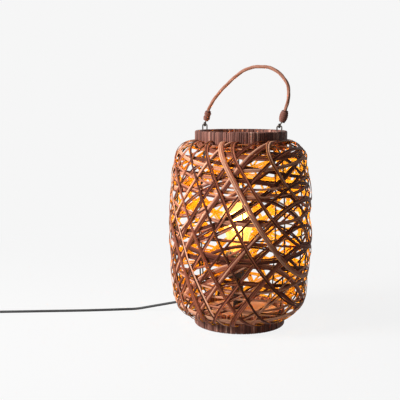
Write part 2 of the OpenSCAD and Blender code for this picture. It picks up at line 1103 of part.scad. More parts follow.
plug_start = [-645.5, -79, 7];
plug_l = 34;
plug_half_w = 17;
plug_t = 14;
pin_spacing = 18.6;
pin_out = 19;
pin_in = 10;

// Places its children, drawn to the right, along the plug, which points to the front
module on_plug() {
    translate(plug_start)
        rotate([0, 0, -90])
            children();
}

module plug_boot() {
    color("#161616")
    on_plug()
        rotate([0, -90, 0])
            cord_boot(boot_l, 5.5, 3.5);
}

// Two round pins, thinner where they are moulded into the body
module plug_pin_form() {
    for (side = [-1, 1])
        translate([plug_l, side * pin_spacing / 2, 0])
            rotate([0, 90, 0]) {
                cylinder(h = pin_out, r = 2, $fn = 48);
                translate([0, 0, -pin_in])
                    cylinder(h = pin_in, r = 1.5, $fn = 48);
            }
}

module plug_body() {
    color("#161616")
    on_plug()
        difference() {
            translate([0, 0, -plug_t / 2])
                linear_extrude(plug_t)
                    polygon([
                        [0, -6], [0, 6], [6, 7], [16, plug_half_w - 1], [18, plug_half_w],
                        [plug_l, plug_half_w], [plug_l, -plug_half_w], [18, -plug_half_w],
                        [16, 1 - plug_half_w], [6, -7]
                    ]);
            plug_pin_form();
        }
}

module plug_pins() {
    color("#c8cacc")
    on_plug()
        plug_pin_form();
}

base_board();
board_nails();
bottom_ring_core();
bottom_ring_winding();
top_ring_core();
top_ring_winding();
frame_ribs();
middle_hoop();
weave_layer_1();
weave_layer_2();
weave_layer_3();
weave_layer_4();
weave_layer_5();
weave_layer_6();
stem_tube();
stem_sleeve();
stem_washer();
stem_nut();
holder_cap();
holder_shell();
holder_insert();
thread_sleeve();
centre_contact();
terminal_screws();
cord_grip();
bulb_cap();
bulb_contact();
bulb_glass();
bulb_mount();
bulb_filaments();
rim_loop_left();
rim_loop_right();
handle_eye_left();
handle_eye_right();
handle_binding_left();
handle_binding_right();
handle_rope();
lamp_cord();
switch_base();
switch_cover();
switch_rocker();
switch_screws();
switch_boots();
coil_lead();
cord_coil();
cord_tie();
plug_lead();
plug_boot();
plug_body();
plug_pins();
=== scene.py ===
import math

import bpy
from mathutils import Matrix, Vector


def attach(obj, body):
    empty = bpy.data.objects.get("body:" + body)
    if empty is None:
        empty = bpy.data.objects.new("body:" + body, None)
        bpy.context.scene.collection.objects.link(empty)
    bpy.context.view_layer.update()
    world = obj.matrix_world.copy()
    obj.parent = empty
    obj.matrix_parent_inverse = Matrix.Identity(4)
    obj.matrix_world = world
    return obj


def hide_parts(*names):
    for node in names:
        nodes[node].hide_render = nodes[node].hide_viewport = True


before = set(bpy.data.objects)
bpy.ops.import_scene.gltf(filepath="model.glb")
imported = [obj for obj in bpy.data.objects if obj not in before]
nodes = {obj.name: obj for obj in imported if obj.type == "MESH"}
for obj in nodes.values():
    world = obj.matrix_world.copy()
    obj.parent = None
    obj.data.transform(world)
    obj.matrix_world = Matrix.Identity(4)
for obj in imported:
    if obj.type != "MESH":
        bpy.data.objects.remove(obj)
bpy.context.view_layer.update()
scene = bpy.context.scene


# ---- Camera ----
# The lamp is seen from the front and a little above. It stands right of the picture's middle,
# with room at the left for the cord. The place follows from the ellipses of the two rings.

camera_data = bpy.data.cameras.new("camera")
camera_data.sensor_width = 36
camera_data.lens = 71.3
camera_place = (0, -1.4654, 0.4202)
look_left, look_down, roll = 2.94, 7.305, 0.14
camera = bpy.data.objects.new("camera", camera_data)
camera.matrix_world = (
    Matrix.Translation(camera_place)
    @ Matrix.Rotation(math.radians(look_left), 4, "Z")
    @ Matrix.Rotation(math.radians(90 - look_down), 4, "X")
    @ Matrix.Rotation(math.radians(roll), 4, "Z")
)
scene.collection.objects.link(camera)
scene.camera = camera
scene.view_settings.view_transform = "Standard"


# ---- Studio ----
# A pale table top that runs off into a pale background. One large soft lamp stands at the
# upper left in front, and a little light comes from all round.

class Wire:
    """One output of a node. Arithmetic on wires adds Math nodes to their tree."""

    def __init__(self, tree, socket=None):
        self.tree = tree
        self.socket = socket

    def add(self, kind, values=(), stops=(), **settings):
        """A new node: its settings and a ramp's stops first, then its sockets."""
        node = self.tree.nodes.new(kind)
        for name, setting in settings.items():
            setattr(node, name, setting)
        for i, (place, colour) in enumerate(stops):
            ramp = node.color_ramp.elements
            stop = ramp[i] if i < 2 else ramp.new(place)
            stop.position = place
            stop.color = (*colour, 1)
        for key, value in dict(values).items():
            if isinstance(value, Wire):
                self.tree.links.new(value.socket, node.inputs[key])
            else:
                node.inputs[key].default_value = value
        return Wire(self.tree, node.outputs[0] if node.outputs else None)

    def __getitem__(self, output):
        """Another output of the same node."""
        return Wire(self.tree, self.socket.node.outputs[output])

    def math(self, operation, *values):
        return self.add("ShaderNodeMath", enumerate(values), operation=operation)

    def vector(self, operation, *values):
        return self.add("ShaderNodeVectorMath", enumerate(values), operation=operation)

    def blend(self, share, a, b):
        return self.add("ShaderNodeMix", {0: share, 6: a, 7: b}, data_type="RGBA")[2]

    def __add__(self, other):
        return self.math("ADD", self, other)

    def __radd__(self, other):
        return self.math("ADD", other, self)

    def __sub__(self, other):
        return self.math("SUBTRACT", self, other)

    def __rsub__(self, other):
        return self.math("SUBTRACT", other, self)

    def __mul__(self, other):
        return self.math("MULTIPLY", self, other)

    def __rmul__(self, other):
        return self.math("MULTIPLY", other, self)

    def __truediv__(self, other):
        return self.math("DIVIDE", self, other)

    def __rtruediv__(self, other):
        return self.math("DIVIDE", other, self)


def surface(name):
    """A new material with an empty tree, and the start of a wire in it."""
    material = bpy.data.materials.new(name)
    material.use_nodes = True
    material.node_tree.nodes.clear()
    return material, Wire(material.node_tree)


def seen_directly(tree):
    """1 for the camera's rays, also by way of gloss or glass, and 0 for any other ray."""
    ray = tree.add("ShaderNodeLightPath")
    seen = ray["Is Camera Ray"] + ray["Is Glossy Ray"] + ray["Is Transmission Ray"]
    return tree.math("MINIMUM", seen, 1)


# What the picture shows as its pale ground, and what the floor throws back on the lamp
pale, bounce = (0.922, 0.922, 0.922, 1), (0.45, 0.45, 0.45, 1)

studio, paint = surface("studio")
seen = seen_directly(paint)
place = paint.add("ShaderNodeTexCoord")["Object"]
from_axis = paint.vector("LENGTH", place)["Value"]
far = paint.add("ShaderNodeMapRange", {0: from_axis, 1: 0.25, 2: 1.1})
glow = paint.add("ShaderNodeEmission", {"Color": pale, "Strength": 1})
matt = paint.add("ShaderNodeBsdfDiffuse", {"Color": paint.blend(seen, bounce, pale)})
glowing = seen * (0.94 + 0.06 * far)
mixed = paint.add("ShaderNodeMixShader", {0: glowing, 1: matt, 2: glow})
paint.add("ShaderNodeOutputMaterial", {"Surface": mixed})

floor_mesh = bpy.data.meshes.new("floor")
half = 6
floor_mesh.from_pydata(
    [(-half, -half, 0), (half, -half, 0), (half, half, 0), (-half, half, 0)], [], [(0, 1, 2, 3)]
)
floor_mesh.materials.append(studio)
floor = bpy.data.objects.new("floor", floor_mesh)
scene.collection.objects.link(floor)

world = bpy.data.worlds.new("studio air")
world.use_nodes = True
world.node_tree.nodes.clear()
air = Wire(world.node_tree)
around = air.add("ShaderNodeBackground", {"Color": (1, 1, 1, 1), "Strength": 0.05})
behind = air.add("ShaderNodeBackground", {"Color": pale, "Strength": 1})
mixed = air.add("ShaderNodeMixShader", {0: seen_directly(air), 1: around, 2: behind})
air.add("ShaderNodeOutputWorld", {"Surface": mixed})
scene.world = world

key_data = bpy.data.lights.new("key", "AREA")
key_data.shape = "DISK"
key_data.size = 1.0
key_data.energy = 122
key_aim = Vector((0, 0, 0.18))
key = bpy.data.objects.new("key", key_data)
key.location = (-1.85, -0.8, 1.3)
key.rotation_euler = (key_aim - key.location).to_track_quat("-Z", "Y").to_euler()
scene.collection.objects.link(key)


# ---- Base board and the rings' cores ----
# A round of plywood closes the lower ring and carries the lampholder. It is nailed through
# the core of the ring, a band of bent wood, stained dark like the one at the top.

def object_place(paint):
    return paint.add("ShaderNodeTexCoord")["Object"]


def stretched(place, scale):
    return place.add("ShaderNodeMapping", {0: place, "Scale": scale})


def noise(place, scale, detail):
    return place.add("ShaderNodeTexNoise", {"Vector": place, "Scale": scale, "Detail": detail})


def bump(height, strength, distance):
    return height.add("ShaderNodeBump", {
        "Height": height, "Strength": strength, "Distance": distance})


def finish(paint, values):
    """Ends a material's tree in one shader with these values."""
    shader = paint.add("ShaderNodeBsdfPrincipled", values)
    paint.add("ShaderNodeOutputMaterial", {"Surface": shader})


def dress(material, *names):
    """Gives CAD nodes a material in place of their own."""
    for name in names:
        nodes[name].data.materials.clear()
        nodes[name].data.materials.append(material)


plywood, paint = surface("plywood")
place = object_place(paint)
grain = noise(stretched(place, (18, 170, 170)), 1, 6)
year_rings = noise(stretched(place, (3, 14, 14)), 1.5, 3)
bands = paint.math("PINGPONG", year_rings * 6, 1)
light_wood = paint.blend(bands, (0.50, 0.31, 0.25, 1), (0.60, 0.41, 0.34, 1))
finish(paint, {
    "Base Color": paint.blend(grain * 0.55, light_wood, (0.32, 0.17, 0.13, 1)),
    "Roughness": 0.5 + 0.2 * grain, "Specular IOR Level": 0.25,
    "Normal": bump(grain, 0.12, 0.001)})
dress(plywood, "base_board")

core_wood, paint = surface("stained bent wood")
grain = noise(stretched(object_place(paint), (30, 30, 240)), 1, 5)
finish(paint, {
    "Base Color": paint.blend(grain, (0.022, 0.010, 0.007, 1), (0.075, 0.034, 0.022, 1)),
    "Roughness": 0.55 + 0.2 * grain})
dress(core_wood, "bottom_ring_core", "top_ring_core")


# ---- Windings of the rings ----
# Stained peel is wound crosswise round both bands, strip beside strip, so that every strip
# is a closed loop round the section. The strips differ a little in width, lean and tone.

def tree_named(name, **sizes):
    """A geometry tree with named inputs for its path and sizes, and a wire for its inputs."""
    tree = bpy.data.node_groups.new(name, "GeometryNodeTree")
    tree.interface.new_socket("Geometry", in_out="OUTPUT", socket_type="NodeSocketGeometry")
    kinds = {int: "NodeSocketInt", float: "NodeSocketFloat"}
    tree.interface.new_socket("Path", in_out="INPUT", socket_type="NodeSocketGeometry")
    for size, value in sizes.items():
        made = tree.interface.new_socket(size, in_out="INPUT", socket_type=kinds[type(value)])
        made.default_value = value
    return tree, Wire(tree).add("NodeGroupInput")


def grown(name, tree, host_data, **sizes):
    """The plain mesh that a geometry tree makes on host_data, as an object of that name."""
    host = bpy.data.objects.new("host", host_data)
    scene.collection.objects.link(host)
    modifier = host.modifiers.new("grow", "NODES")
    modifier.node_group = tree
    for socket in tree.interface.items_tree:
        if socket.name in sizes:
            modifier[socket.identifier] = sizes[socket.name]
    depsgraph = bpy.context.evaluated_depsgraph_get()
    mesh = bpy.data.meshes.new_from_object(host.evaluated_get(depsgraph))
    bpy.data.objects.remove(host)
    mesh.name = name
    made = bpy.data.objects.new(name, mesh)
    scene.collection.objects.link(made)
    return made


def keep(geometry, name, value, kind="FLOAT", domain="POINT"):
    """The geometry, with a value stored on it under a name."""
    return geometry.add("GeometryNodeStoreNamedAttribute", {
        0: geometry, "Name": name, 3: value}, data_type=kind, domain=domain)


def chance(size, which, seed, low, high):
    """A random number for each value of which, the same in every run."""
    ends = {2: low, 3: high, 7: which, 8: size["seed"] * 40 + seed}
    return size.add("FunctionNodeRandomValue", ends, data_type="FLOAT")[1]


def finish_tree(geometry, material):
    """Ends a geometry tree in real faces with one material."""
    real = geometry.add("GeometryNodeRealizeInstances", {0: geometry})
    dressed = real.add("GeometryNodeSetMaterial", {0: real, "Material": material})
    dressed.add("NodeGroupOutput", {0: dressed})


def flat_section(net, width, thick):
    """Section of a strip with slightly domed faces, eight points round, thick along x."""
    ring = net.add("GeometryNodeCurvePrimitiveCircle", {"Resolution": 8, "Radius": 1.0})
    corner = net.add("ShaderNodeSeparateXYZ", {0: net.add("GeometryNodeInputPosition")})
    turn = net.math("ARCTAN2", corner[1], corner[0]) + math.pi / 8
    # Half of 1.08, so that opposite sides of the eight are as far apart as the sizes say. The
    # points go round the same way as the circle's, which turns the strip's faces outward.
    reach = 0.54
    spot = net.add("ShaderNodeCombineXYZ", {
        0: net.math("SINE", turn) * thick * reach, 1: net.math("COSINE", turn) * width * -reach})
    ring = net.add("GeometryNodeSetPosition", {0: ring, "Position": spot})
    return keep(ring, "side", net.add("GeometryNodeSplineParameter")["Factor"])


def stored(paint, name):
    """A number that the mesh carries under a name."""
    return paint.add("ShaderNodeAttribute", attribute_name=name)["Fac"]


def noise_over(x, y, z, detail):
    return noise(x.add("ShaderNodeCombineXYZ", {0: x, 1: y, 2: z}), 1, detail)


wound_peel, paint = surface("wound peel")
tone, along, side = (stored(paint, name) for name in ("strip", "along", "side"))
fibre = noise_over(along * 45, side * 26, tone * 90, 4)
# The darkest stop also colours the binding's fold, which has no tone: there it is painted shade.
stained = paint.add("ShaderNodeValToRGB", {0: tone}, stops=[
    (0, (0.07, 0.026, 0.019)), (0.45, (0.155, 0.06, 0.043)),
    (0.86, (0.27, 0.115, 0.085)), (1, (0.55, 0.31, 0.235))])
finish(paint, {
    "Base Color": paint.blend(fibre * fibre, stained["Color"], (0.04, 0.014, 0.010, 1)),
    "Roughness": 0.38 + 0.25 * fibre, "Specular IOR Level": 0.12,
    "Normal": bump(fibre, 0.35, 0.0006)})

winding_tree, size = tree_named(
    "ring winding", strips=140, seed=1, lower_edge=0.0, ring_r=0.085, wall=0.012, height=0.033,
    strip_width=0.0038, strip_thick=0.0011)
around = size.add("GeometryNodeCurvePrimitiveQuadrilateral", {
    0: size["wall"] - size["strip_thick"], 1: size["height"] - size["strip_thick"]})
around = size.add(
    "GeometryNodeFilletCurve", {0: around, "Radius": 0.0022, "Count": 3}, mode="POLY")
around = size.add("GeometryNodeSetCurveNormal", {0: around}, mode="Z_UP")
around = keep(around, "along", size.add("GeometryNodeSplineParameter")["Length"])
section = flat_section(size, size["strip_width"], size["strip_thick"])
loop = size.add("GeometryNodeCurveToMesh", {0: around, 1: section})
loop = size.add("GeometryNodeSetShadeSmooth", {0: loop})
loop = size.add("GeometryNodeTransform", {
    0: loop, "Rotation": (math.pi / 2, 0, 0),
    "Translation": size.add("ShaderNodeCombineXYZ", {0: size["ring_r"] - size["wall"] / 2})})
points = size.add("GeometryNodePoints", {"Count": size["strips"]})
strip = size.add("GeometryNodeInputIndex")
turn = (strip + chance(size, strip, 1, -0.12, 0.12)) * (2 * math.pi / size["strips"])
leaning = size.add("ShaderNodeCombineXYZ", {0: chance(size, strip, 2, -0.03, 0.03), 2: turn})
broad = size.add("ShaderNodeCombineXYZ", {0: 1.0, 1: chance(size, strip, 3, 0.85, 1.12), 2: 1.0})
wound = size.add("GeometryNodeInstanceOnPoints", {
    0: points, "Instance": loop, "Scale": broad,
    "Rotation": size.add("FunctionNodeEulerToRotation", {0: leaning})})
wound = keep(wound, "strip", chance(size, strip, 4, 0, 1), domain="INSTANCE")
middle = size.add("ShaderNodeCombineXYZ", {2: size["lower_edge"] + size["height"] / 2})
wound = size.add("GeometryNodeTransform", {0: wound, "Translation": middle})
finish_tree(wound, wound_peel)

for name, seed, lower_edge in (("bottom", 3, 0.0), ("top", 8, 0.329)):
    winding = grown(f"{name}_winding_strips", winding_tree, bpy.data.meshes.new("none"),
                    seed=seed, lower_edge=lower_edge)
    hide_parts(f"{name}_ring_winding")
    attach(winding, "lamp")


# ---- Wire frame ----
# Ten upright ribs and one level hoop of steel wire, welded where they cross and painted
# black. The ends of the ribs are stuck into the cores of the two rings.

black_paint, paint = surface("black paint on wire")
worn = noise(object_place(paint), 420, 3)
finish(paint, {
    "Base Color": paint.blend(worn, (0.010, 0.009, 0.008, 1), (0.03, 0.026, 0.024, 1)),
    "Roughness": 0.3 + 0.25 * worn, "Specular IOR Level": 0.25,
    "Normal": bump(worn, 0.15, 0.0004)})
dress(black_paint, "frame_ribs", "middle_hoop")


# ---- Weave ----
# The shade is woven at random from split rattan peel: runs of one to three flat strands,
# each laid round the frame in a plane of its own. The outside is stained. The inside is raw
# peel, in a saturated gold that also paints in the warm glow of the bulb.

# The barrel: its widest radius, the lean of its sides, the height of its middle, and the
# radius and centre of its shoulders' rounding, out from the axis and up from the middle
shade_r, side_lean, mid_height = 0.132, math.radians(4.8), 0.181
corner_r, corner_x, corner_z = 0.042, 0.083, 0.123


def barrel_side(up, inset):
    """Radius of the barrel at a height from its middle, and the slope of its side there."""
    corner, side = corner_r - inset, shade_r - inset
    slant = ((side - corner_x) * math.cos(side_lean) - corner) / math.sin(side_lean)
    if up < corner_z - slant:
        return side, 0
    if up < corner_z + corner * math.sin(side_lean):
        return side - (up - corner_z + slant) * math.tan(side_lean), side_lean
    if up < corner_z + corner:
        over = (up - corner_z) / corner
        return corner_x + corner * math.sqrt(1 - over ** 2), math.asin(over)
    return 0, math.pi / 2


# A run ends at the first radius, inside the wall of a ring, and never beyond the second
run_end_r, no_end_r = 0.0775, 0.0825


def hoop_points(lean, turn, offset, inset):
    """Points and outward directions where a plane cuts the barrel, in parts between the rings.

    Each point is found by halving the way from inside the barrel to outside it.
    """
    normal = Vector((
        math.sin(lean) * math.cos(turn), math.sin(lean) * math.sin(turn), math.cos(lean)))
    level = Vector((-math.sin(turn), math.cos(turn), 0))
    steep = normal.cross(level)
    steps, halvings, outside = 160, 22, 0.35
    parts = [[]]
    for i in range(steps):
        angle = 2 * math.pi * i / steps
        way = math.cos(angle) * level + math.sin(angle) * steep
        near, beyond = 0, outside
        for _ in range(halvings):
            half_way = (near + beyond) / 2
            spot = offset * normal + half_way * way
            if spot.xy.length < barrel_side(abs(spot.z), inset)[0]:
                near = half_way
            else:
                beyond = half_way
        spot = offset * normal + near * way
        slope = barrel_side(abs(spot.z), inset)[1]
        level_part = spot.xy.normalized() * math.cos(slope)
        outward = Vector((*level_part, math.copysign(math.sin(slope), spot.z)))
        if spot.xy.length > run_end_r:
            parts[-1].append((spot + Vector((0, 0, mid_height)), outward))
        elif parts[-1]:
            parts.append([])
    whole = len(parts) == 1
    # The way round may have begun in the middle of a part, which is then put together
    if not whole and parts[0] and parts[-1] and parts[-1][-1][0].xy.length > no_end_r:
        parts[0] = parts.pop() + parts[0]
    return [p for p in parts if len(p) > 3], whole


def scatter(number, hoop, step):
    """A fixed number from -1 to 1 for a run of a layer, which looks random."""
    run_most, start = 12, 0.7
    return 2 * (((run_most * number + hoop) * step + start) % 1) - 1


# Lean and turn of a layer's runs, their number, how evenly they are spaced, and their spread
weave_plan = (
    (9, 40, 11, 0.6, 0.9), (33, 205, 12, 0.9, 0.8), (47, 95, 12, 0.9, 0.8),
    (14, 285, 11, 0.6, 0.9), (56, 150, 12, 0.9, 0.8), (64, 335, 10, 0.9, 0.8),
)
outer_inset, layer_pitch = 0.00035, 0.00085
spacing_play, run_play = 0.4, 2.2
spacing_step, lean_step, turn_step, strands_step = 0.618034, 0.754878, 0.56984, 0.381966


def layer_paths(number):
    """The planned courses of one layer, as a mesh of lines."""
    lean, turn, runs, evenness, spread = weave_plan[number - 1]
    inset = outer_inset + (len(weave_plan) - number) * layer_pitch
    lean_angle = math.radians(lean)
    reach = spread * (
        corner_x * math.sin(lean_angle) + corner_z * math.cos(lean_angle) + corner_r)
    spots, outwards, counts, hoops, edges = [], [], [], [], []
    for k in range(runs):
        share = (2 * k + spacing_play * scatter(number, k, spacing_step)) / (runs - 1) - 1
        offset = math.copysign(abs(share) ** evenness, share) * reach
        run_lean = lean + run_play * scatter(number, k, lean_step)
        run_turn = turn + run_play / math.sin(lean_angle) * scatter(number, k, turn_step)
        few = scatter(number, k, strands_step)
        strands = 1 if few < -0.6 else 2 if few < 0.5 else 3
        parts, whole = hoop_points(math.radians(run_lean), math.radians(run_turn), offset, inset)
        for part in parts:
            first = len(spots)
            spots += [spot for spot, outward in part]
            outwards += [outward for spot, outward in part]
            counts += [strands] * len(part)
            hoops += [k] * len(part)
            edges += [(i, i + 1) for i in range(first, len(spots) - 1)]
            if whole:
                edges.append((len(spots) - 1, first))
    paths = bpy.data.meshes.new("paths")
    paths.from_pydata(spots, edges, [])
    directions = paths.attributes.new("outward", "FLOAT_VECTOR", "POINT")
    directions.data.foreach_set("vector", [c for outward in outwards for c in outward])
    for name, numbers in (("strands", counts), ("hoop", hoops)):
        paths.attributes.new(name, "FLOAT", "POINT").data.foreach_set("value", numbers)
    return paths


peel_stuff, paint = surface("stained and raw peel, painted glow inside")
tone, along, side = (stored(paint, name) for name in ("strand", "along", "side"))
# The section's points go round its outer face first, which ends at this share of the way
outer_share = 0.44
inner = paint.math("GREATER_THAN", side, outer_share)
fibre = noise_over(along * 55, side * 30, tone * 90, 5)
stain = noise_over(along * 22, side * 2, tone * 37, 3)
stained = paint.add("ShaderNodeValToRGB", {0: tone * 0.75 + stain * 0.5 - 0.12}, stops=[
    (0.05, (0.030, 0.006, 0.003)), (0.38, (0.125, 0.026, 0.012)),
    (0.62, (0.40, 0.120, 0.060)), (0.86, (0.80, 0.40, 0.25))])
stained = paint.blend(fibre * fibre * 1.3, stained["Color"], (0.05, 0.018, 0.012, 1))
# The inside is raw peel, but its deep gold is partly painted glow of the bulb's light on it.
raw_gold_and_painted_glow = paint.blend(stain, (0.66, 0.25, 0.012, 1), (0.8, 0.52, 0.03, 1))
raw_gold_and_painted_glow = paint.blend(fibre * 0.7, raw_gold_and_painted_glow, (0.3, 0.07, 0.008, 1))
finish(paint, {
    "Base Color": paint.blend(inner, stained, raw_gold_and_painted_glow), "Roughness": 0.36 + 0.3 * fibre,
    "Specular IOR Level": 0.08, "Normal": bump(fibre, 0.5, 0.0005)})


def recall(size, name, kind="FLOAT"):
    """A value that the geometry carries under a name."""
    return size.add("GeometryNodeInputNamedAttribute", {0: name}, data_type=kind)


def scaled(vector, factor):
    return vector.add("ShaderNodeVectorMath", {0: vector, "Scale": factor}, operation="SCALE")


weave_tree, size = tree_named(
    "random weave", seed=1, strand_width=0.0032, strand_thick=0.00095, wander=0.0016, lift=0.0)
full_turn = 6.28
laid = size.add("GeometryNodeMeshToCurve", {0: size["Path"]})
laid = keep(laid, "along", size.add("GeometryNodeSplineParameter")["Length"])
hoop, in_run = recall(size, "hoop"), recall(size, "strands")
outward = recall(size, "outward", "FLOAT_VECTOR")
across = size.vector("CROSS_PRODUCT", outward, size.add("GeometryNodeInputTangent"))
laid = keep(laid, "across", size.vector("NORMALIZE", across), "FLOAT_VECTOR")
strands = size.add("GeometryNodeDuplicateElements", {0: laid, "Amount": in_run}, domain="SPLINE")
most_in_run = 3
strand = hoop * most_in_run + strands["Duplicate Index"]

# Strands lie side by side in their run, which sways as one, and each quivers a little
along = recall(size, "along")
beside = (strands["Duplicate Index"] - (in_run - 1) / 2) * size["strand_width"]
sway = size.math(
    "SINE", along * chance(size, hoop, 1, 9, 17) + chance(size, hoop, 2, 0, full_turn))
quiver = size.math(
    "SINE", along * chance(size, strand, 3, 20, 50) + chance(size, strand, 4, 0, full_turn))
beside = beside + size["wander"] * sway + 0.2 * size["wander"] * quiver
aside = scaled(recall(size, "across", "FLOAT_VECTOR"), beside)

# Runs of the outer layers stand off where they ride over others
wave = size.math(
    "SINE", along * chance(size, hoop, 6, 18, 40) + chance(size, hoop, 7, 0, full_turn))
stand_off = scaled(outward, size.math("MAXIMUM", size["lift"] * wave, 0))
laid = size.add("GeometryNodeSetPosition", {
    0: strands, "Offset": size.vector("ADD", aside, stand_off)})
laid = size.add("GeometryNodeSetCurveNormal", {0: laid, "Normal": outward}, mode="FREE")
laid = keep(laid, "strand", chance(size, strand, 5, 0, 1))

# A strand that runs alone is a quarter broader
broad = 1 + 0.25 * size.math("LESS_THAN", in_run, 1.5)
section = flat_section(size, size["strand_width"], size["strand_thick"])
peel = size.add("GeometryNodeCurveToMesh", {
    0: laid, 1: section, "Scale": broad, "Fill Caps": True})
finish_tree(size.add("GeometryNodeSetShadeSmooth", {0: peel}), peel_stuff)

for number in range(1, len(weave_plan) + 1):
    layer = grown(f"peel_layer_{number}", weave_tree, layer_paths(number), seed=number,
                  lift=0.0016 if number > 4 else 0.0)
    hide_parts(f"weave_layer_{number}")
    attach(layer, "lamp")


# ---- Stem and lampholder ----
# A threaded steel tube with a nut and washer under the board carries the lampholder, which
# is moulded of black phenolic. Its insert is white and its contact and sleeve are brass.

def moulded(name, dark, light, rough):
    """Moulded plastic with a fine uneven skin."""
    material, paint = surface(name)
    place = object_place(paint)
    clouds = noise(place, 60, 4)
    finish(paint, {
        "Base Color": paint.blend(clouds, dark, light), "Roughness": rough + 0.2 * clouds,
        "Normal": bump(noise(place, 900, 2), 0.2, 0.0003)})
    return material


def bare_metal(name, colour, rough):
    """Metal with fine scratches and a little tarnish."""
    material, paint = surface(name)
    place = object_place(paint)
    scratches = noise(stretched(place, (260, 260, 2400)), 1, 3)
    stains = noise(place, 140, 5)
    dull = tuple(0.55 * c for c in colour[:3]) + (1,)
    finish(paint, {
        "Base Color": paint.blend(stains * 0.6, colour, dull), "Metallic": 1,
        "Roughness": rough + 0.25 * scratches * stains})
    return material


phenolic = moulded("black phenolic", (0.006, 0.005, 0.005, 1), (0.016, 0.013, 0.012, 1), 0.28)
dress(phenolic, "stem_sleeve", "holder_cap", "holder_shell", "cord_grip")
dress(moulded("white insert", (0.62, 0.58, 0.5, 1), (0.74, 0.71, 0.64, 1), 0.4), "holder_insert")
zinc = bare_metal("zinc plating", (0.62, 0.63, 0.65, 1), 0.3)
dress(zinc, "stem_tube", "stem_washer", "stem_nut", "board_nails")
dress(bare_metal("brass", (0.78, 0.56, 0.24, 1), 0.22),
      "thread_sleeve", "centre_contact", "terminal_screws")


# ---- Bulb ----
# A pear of amber tinted glass on a nickel plated cap, with four glowing filament rods on a
# glass stem. It is lit, and its warm light fills the shade from inside.

nickel = bare_metal("nickel plating", (0.7, 0.69, 0.66, 1), 0.16)
dress(nickel, "bulb_cap", "bulb_contact", "plug_pins")

tinted_glass, paint = surface("lit amber glass")
place = object_place(paint)
height = paint.add("ShaderNodeSeparateXYZ", {0: place})[2]
upper = paint.add("ShaderNodeMapRange", {0: height, 1: 0.135, 2: 0.2})
glass = paint.add("ShaderNodeBsdfPrincipled", {
    "Base Color": (1, 0.72, 0.34, 1), "Roughness": 0.02 + 0.05 * noise(place, 40, 2),
    "Transmission Weight": 1.0, "IOR": 1.45,
    "Emission Color": paint.blend(upper, (1, 0.45, 0.1, 1), (1, 0.72, 0.28, 1)),
    "Emission Strength": 0.35})
clear = paint.add("ShaderNodeBsdfTransparent")
shadow = paint.add("ShaderNodeLightPath")["Is Shadow Ray"]
both = paint.add("ShaderNodeMixShader", {0: shadow, 1: glass, 2: clear})
paint.add("ShaderNodeOutputMaterial", {"Surface": both})
dress(tinted_glass, "bulb_glass")

stem_glass, paint = surface("clear stem glass")
finish(paint, {
    "Base Color": (0.95, 0.96, 0.95, 1), "Roughness": 0.03, "Transmission Weight": 1.0,
    "IOR": 1.5, "Normal": bump(noise(object_place(paint), 150, 2), 0.2, 0.0005)})
dress(stem_glass, "bulb_mount")

filament, paint = surface("glowing filament")
chips = noise(object_place(paint), 700, 1)
finish(paint, {
    "Base Color": (1, 0.7, 0.3, 1), "Roughness": 0.5,
    "Emission Color": paint.blend(chips, (1, 0.72, 0.35, 1), (1, 0.86, 0.6, 1)),
    "Emission Strength": 14})
dress(filament, "bulb_filaments")

bulb_light = bpy.data.lights.new("bulb light", "POINT")
bulb_light.color = (1, 0.66, 0.25)
bulb_light.energy = 1.3
bulb_light.shadow_soft_size = 0.024
lamp_in_bulb = bpy.data.objects.new("bulb light", bulb_light)
lamp_in_bulb.location = (-0.004, 0, 0.192)
scene.collection.objects.link(lamp_in_bulb)


# ---- Loops and eyes of the handle ----
# Two loops of dark annealed wire straddle the upper ring. Through each goes a wire eye
# whose shank ends in the rope of the handle.

dress(bare_metal("annealed wire", (0.10, 0.085, 0.075, 1), 0.42),
      "rim_loop_left", "rim_loop_right", "handle_eye_left", "handle_eye_right")


# ---- Handle rope ----
# The handle is a rope of three plies of split rattan core, twisted together. Each ply shows
# its fibres, and the rope hangs in the two eyes in a high, slightly lopsided arch.

def smooth_line(points, steps):
    """Points of a smooth curve through points, with so many steps from one to the next."""
    line = []
    for i in range(len(points) - 1):
        a, b, c, d = (Vector(points[min(max(i + k, 0), len(points) - 1)]) for k in (-1, 0, 1, 2))
        for s in range(steps):
            t = s / steps
            line.append(0.5 * (2 * b + (c - a) * t + (2 * a - 5 * b + 4 * c - d) * t * t
                               + (3 * b - a - 3 * c + d) * t ** 3))
    return line + [Vector(points[-1])]


def poly_curve(name, line):
    """A curve of straight pieces through the points of a line."""
    data = bpy.data.curves.new(name, "CURVE")
    data.dimensions = "3D"
    spline = data.splines.new("POLY")
    spline.points.add(len(line) - 1)
    for point, place in zip(spline.points, line):
        point.co = (*place, 1)
    return data


# Both ends of the rope lean to the right on the hinge line. The arch is given in halves of
# its span and in its height, and the whole handle is then turned with the two loops.
end_lean = math.radians(16.5)
rope_way = Vector((math.sin(end_lean), 0, math.cos(end_lean)))
rope_start, rope_end = Vector((-0.076, 0, 0.008)), Vector((0.0845, 0, 0.008))
half_span, arch_height, hinge_height, handle_turn = 0.079, 0.105, 0.372, -30
rope_points = [rope_start, rope_start + 0.014 * rope_way, rope_start + 0.024 * rope_way]
for across, up in (
    (-0.684, 0.495), (-0.405, 0.695), (-0.051, 0.895), (0.241, 0.986), (0.557, 1),
    (0.81, 0.962), (1.025, 0.857), (1.177, 0.714), (1.222, 0.571), (1.203, 0.419),
):
    rope_points.append(Vector((across * half_span, 0, up * arch_height)))
rope_points += [rope_end + 0.024 * rope_way, rope_end + 0.014 * rope_way, rope_end]
handle_place = (
    Matrix.Translation((0, 0, hinge_height))
    @ Matrix.Rotation(math.radians(handle_turn), 4, "Z")
)
rope_line = [handle_place @ p for p in smooth_line(rope_points, 6)]

